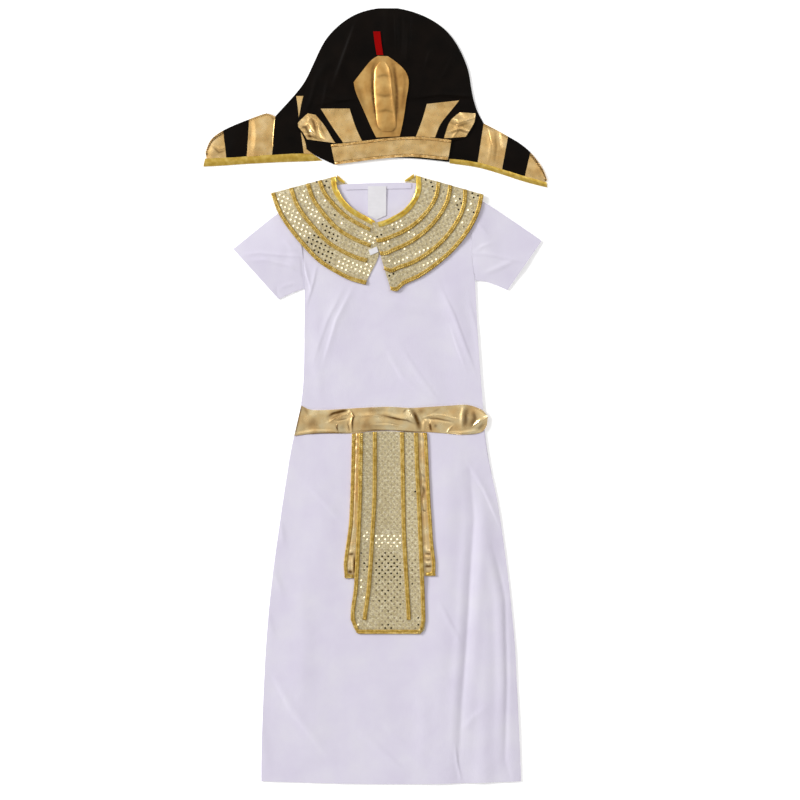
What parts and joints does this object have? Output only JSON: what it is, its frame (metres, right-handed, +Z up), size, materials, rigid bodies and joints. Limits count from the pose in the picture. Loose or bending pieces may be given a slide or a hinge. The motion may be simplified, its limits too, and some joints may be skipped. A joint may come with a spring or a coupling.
{
  "type": "egyptian pharaoh costume",
  "caption": "White short-sleeved robe with sequined collar, gold belt and apron, and a striped black and gold hood with a cobra, laid out flat as a king's fancy dress.",
  "frame": {"origin": "on the table under the middle of the whole outfit, robe and headdress together", "axes": "+Z up off the table, +Y from the robe's hem to the crown of the headdress, +X to the right as one looks down on it"},
  "size_m": [0.583, 1.318, 0.0104],
  "materials": {
    "robe_cloth": "smooth white polyester knit with a faint sheen",
    "label_cloth": "blank white satin label",
    "sequined_knit": "glitter knit with small round mirror sequins",
    "gold_braid": "metallic gold braid",
    "gold_lame": "foil-coated gold cloth",
    "gold_satin": "gold satin binding",
    "black_cloth": "brushed black polyester knit",
    "red_felt": "red felt ribbon"
  },
  "bodies": {
    "root": {"robe_front": "robe_cloth", "robe_back": "robe_cloth", "sleeve_left": "robe_cloth", "sleeve_right": "robe_cloth", "neck_tape": "robe_cloth", "care_label": "label_cloth", "size_tag": "label_cloth", "collar_back": "sequined_knit", "collar_left": "sequined_knit", "collar_right": "sequined_knit", "collar_left_binding": "gold_satin", "collar_right_binding": "gold_satin", "collar_left_turn": "gold_satin", "collar_right_turn": "gold_satin", "collar_left_braid_1": "gold_braid", "collar_left_braid_2": "gold_braid", "collar_left_braid_3": "gold_braid", "collar_left_braid_edge": "gold_braid", "collar_right_braid_1": "gold_braid", "collar_right_braid_2": "gold_braid", "collar_right_braid_3": "gold_braid", "collar_right_braid_edge": "gold_braid", "belt_front": "gold_lame", "belt_back": "gold_lame", "tab_left": "gold_lame", "tab_right": "gold_lame", "tab_left_braid": "gold_braid", "tab_right_braid": "gold_braid", "apron": "sequined_knit", "apron_braid_edge": "gold_braid", "apron_braid_left": "gold_braid", "apron_braid_right": "gold_braid", "headdress_back": "black_cloth", "hood_front": "black_cloth", "stripe_back_left": "gold_lame", "stripe_front_left": "gold_lame", "stripe_front_right": "gold_lame", "stripe_gather_left": "gold_lame", "stripe_gather_right": "gold_lame", "wing_left_gold": "gold_lame", "wing_left_black": "black_cloth", "wing_left_tip": "gold_lame", "wing_left_edge": "gold_braid", "wing_left_binding": "gold_satin", "wing_right_gold": "gold_lame", "wing_right_black": "black_cloth", "wing_right_tip": "gold_lame", "wing_right_edge": "gold_braid", "wing_right_binding": "gold_satin", "brow_band": "gold_lame", "brow_cord_bottom": "gold_braid", "brow_cord_top": "gold_braid", "cobra_hood": "gold_lame", "cobra_body": "gold_lame", "cobra_tongue": "red_felt"}
  },
  "joints": []
}
